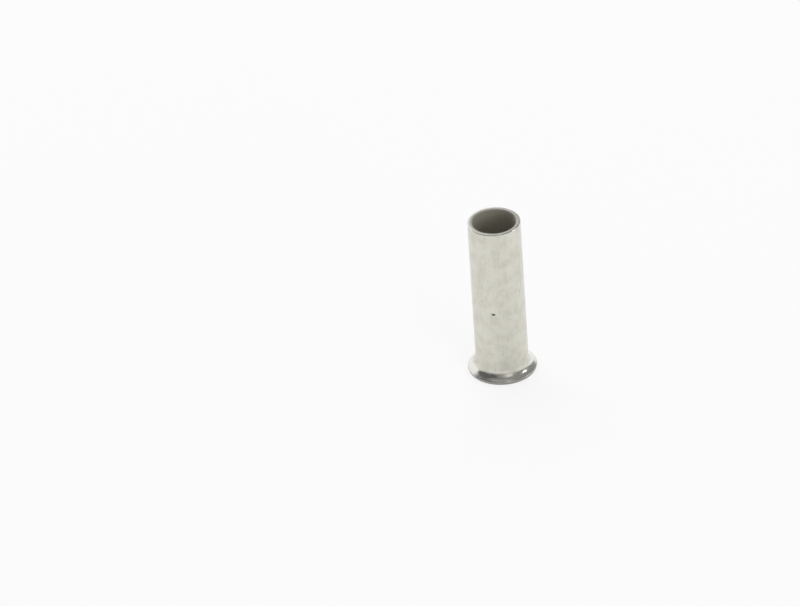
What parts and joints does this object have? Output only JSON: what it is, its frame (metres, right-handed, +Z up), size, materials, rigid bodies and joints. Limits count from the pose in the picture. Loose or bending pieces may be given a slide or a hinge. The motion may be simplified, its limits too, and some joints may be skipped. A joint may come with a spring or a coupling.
{
  "type": "wire ferrule",
  "caption": "Bare tin-plated copper wire ferrule: a straight thin-walled tube, cut square at the top and flared at its foot into a sloping lip.",
  "frame": {"origin": "centre of the circle on which the lip stands", "axes": "+Z up the tube from the flared lip to the cut end; the part is round, so +X and +Y have no feature of their own"},
  "size_m": [0.0044, 0.0044, 0.0109],
  "materials": {
    "tin_plate": "matt tin plate with faint drawing lines"
  },
  "bodies": {
    "root": {"sleeve": "tin_plate"}
  },
  "joints": []
}
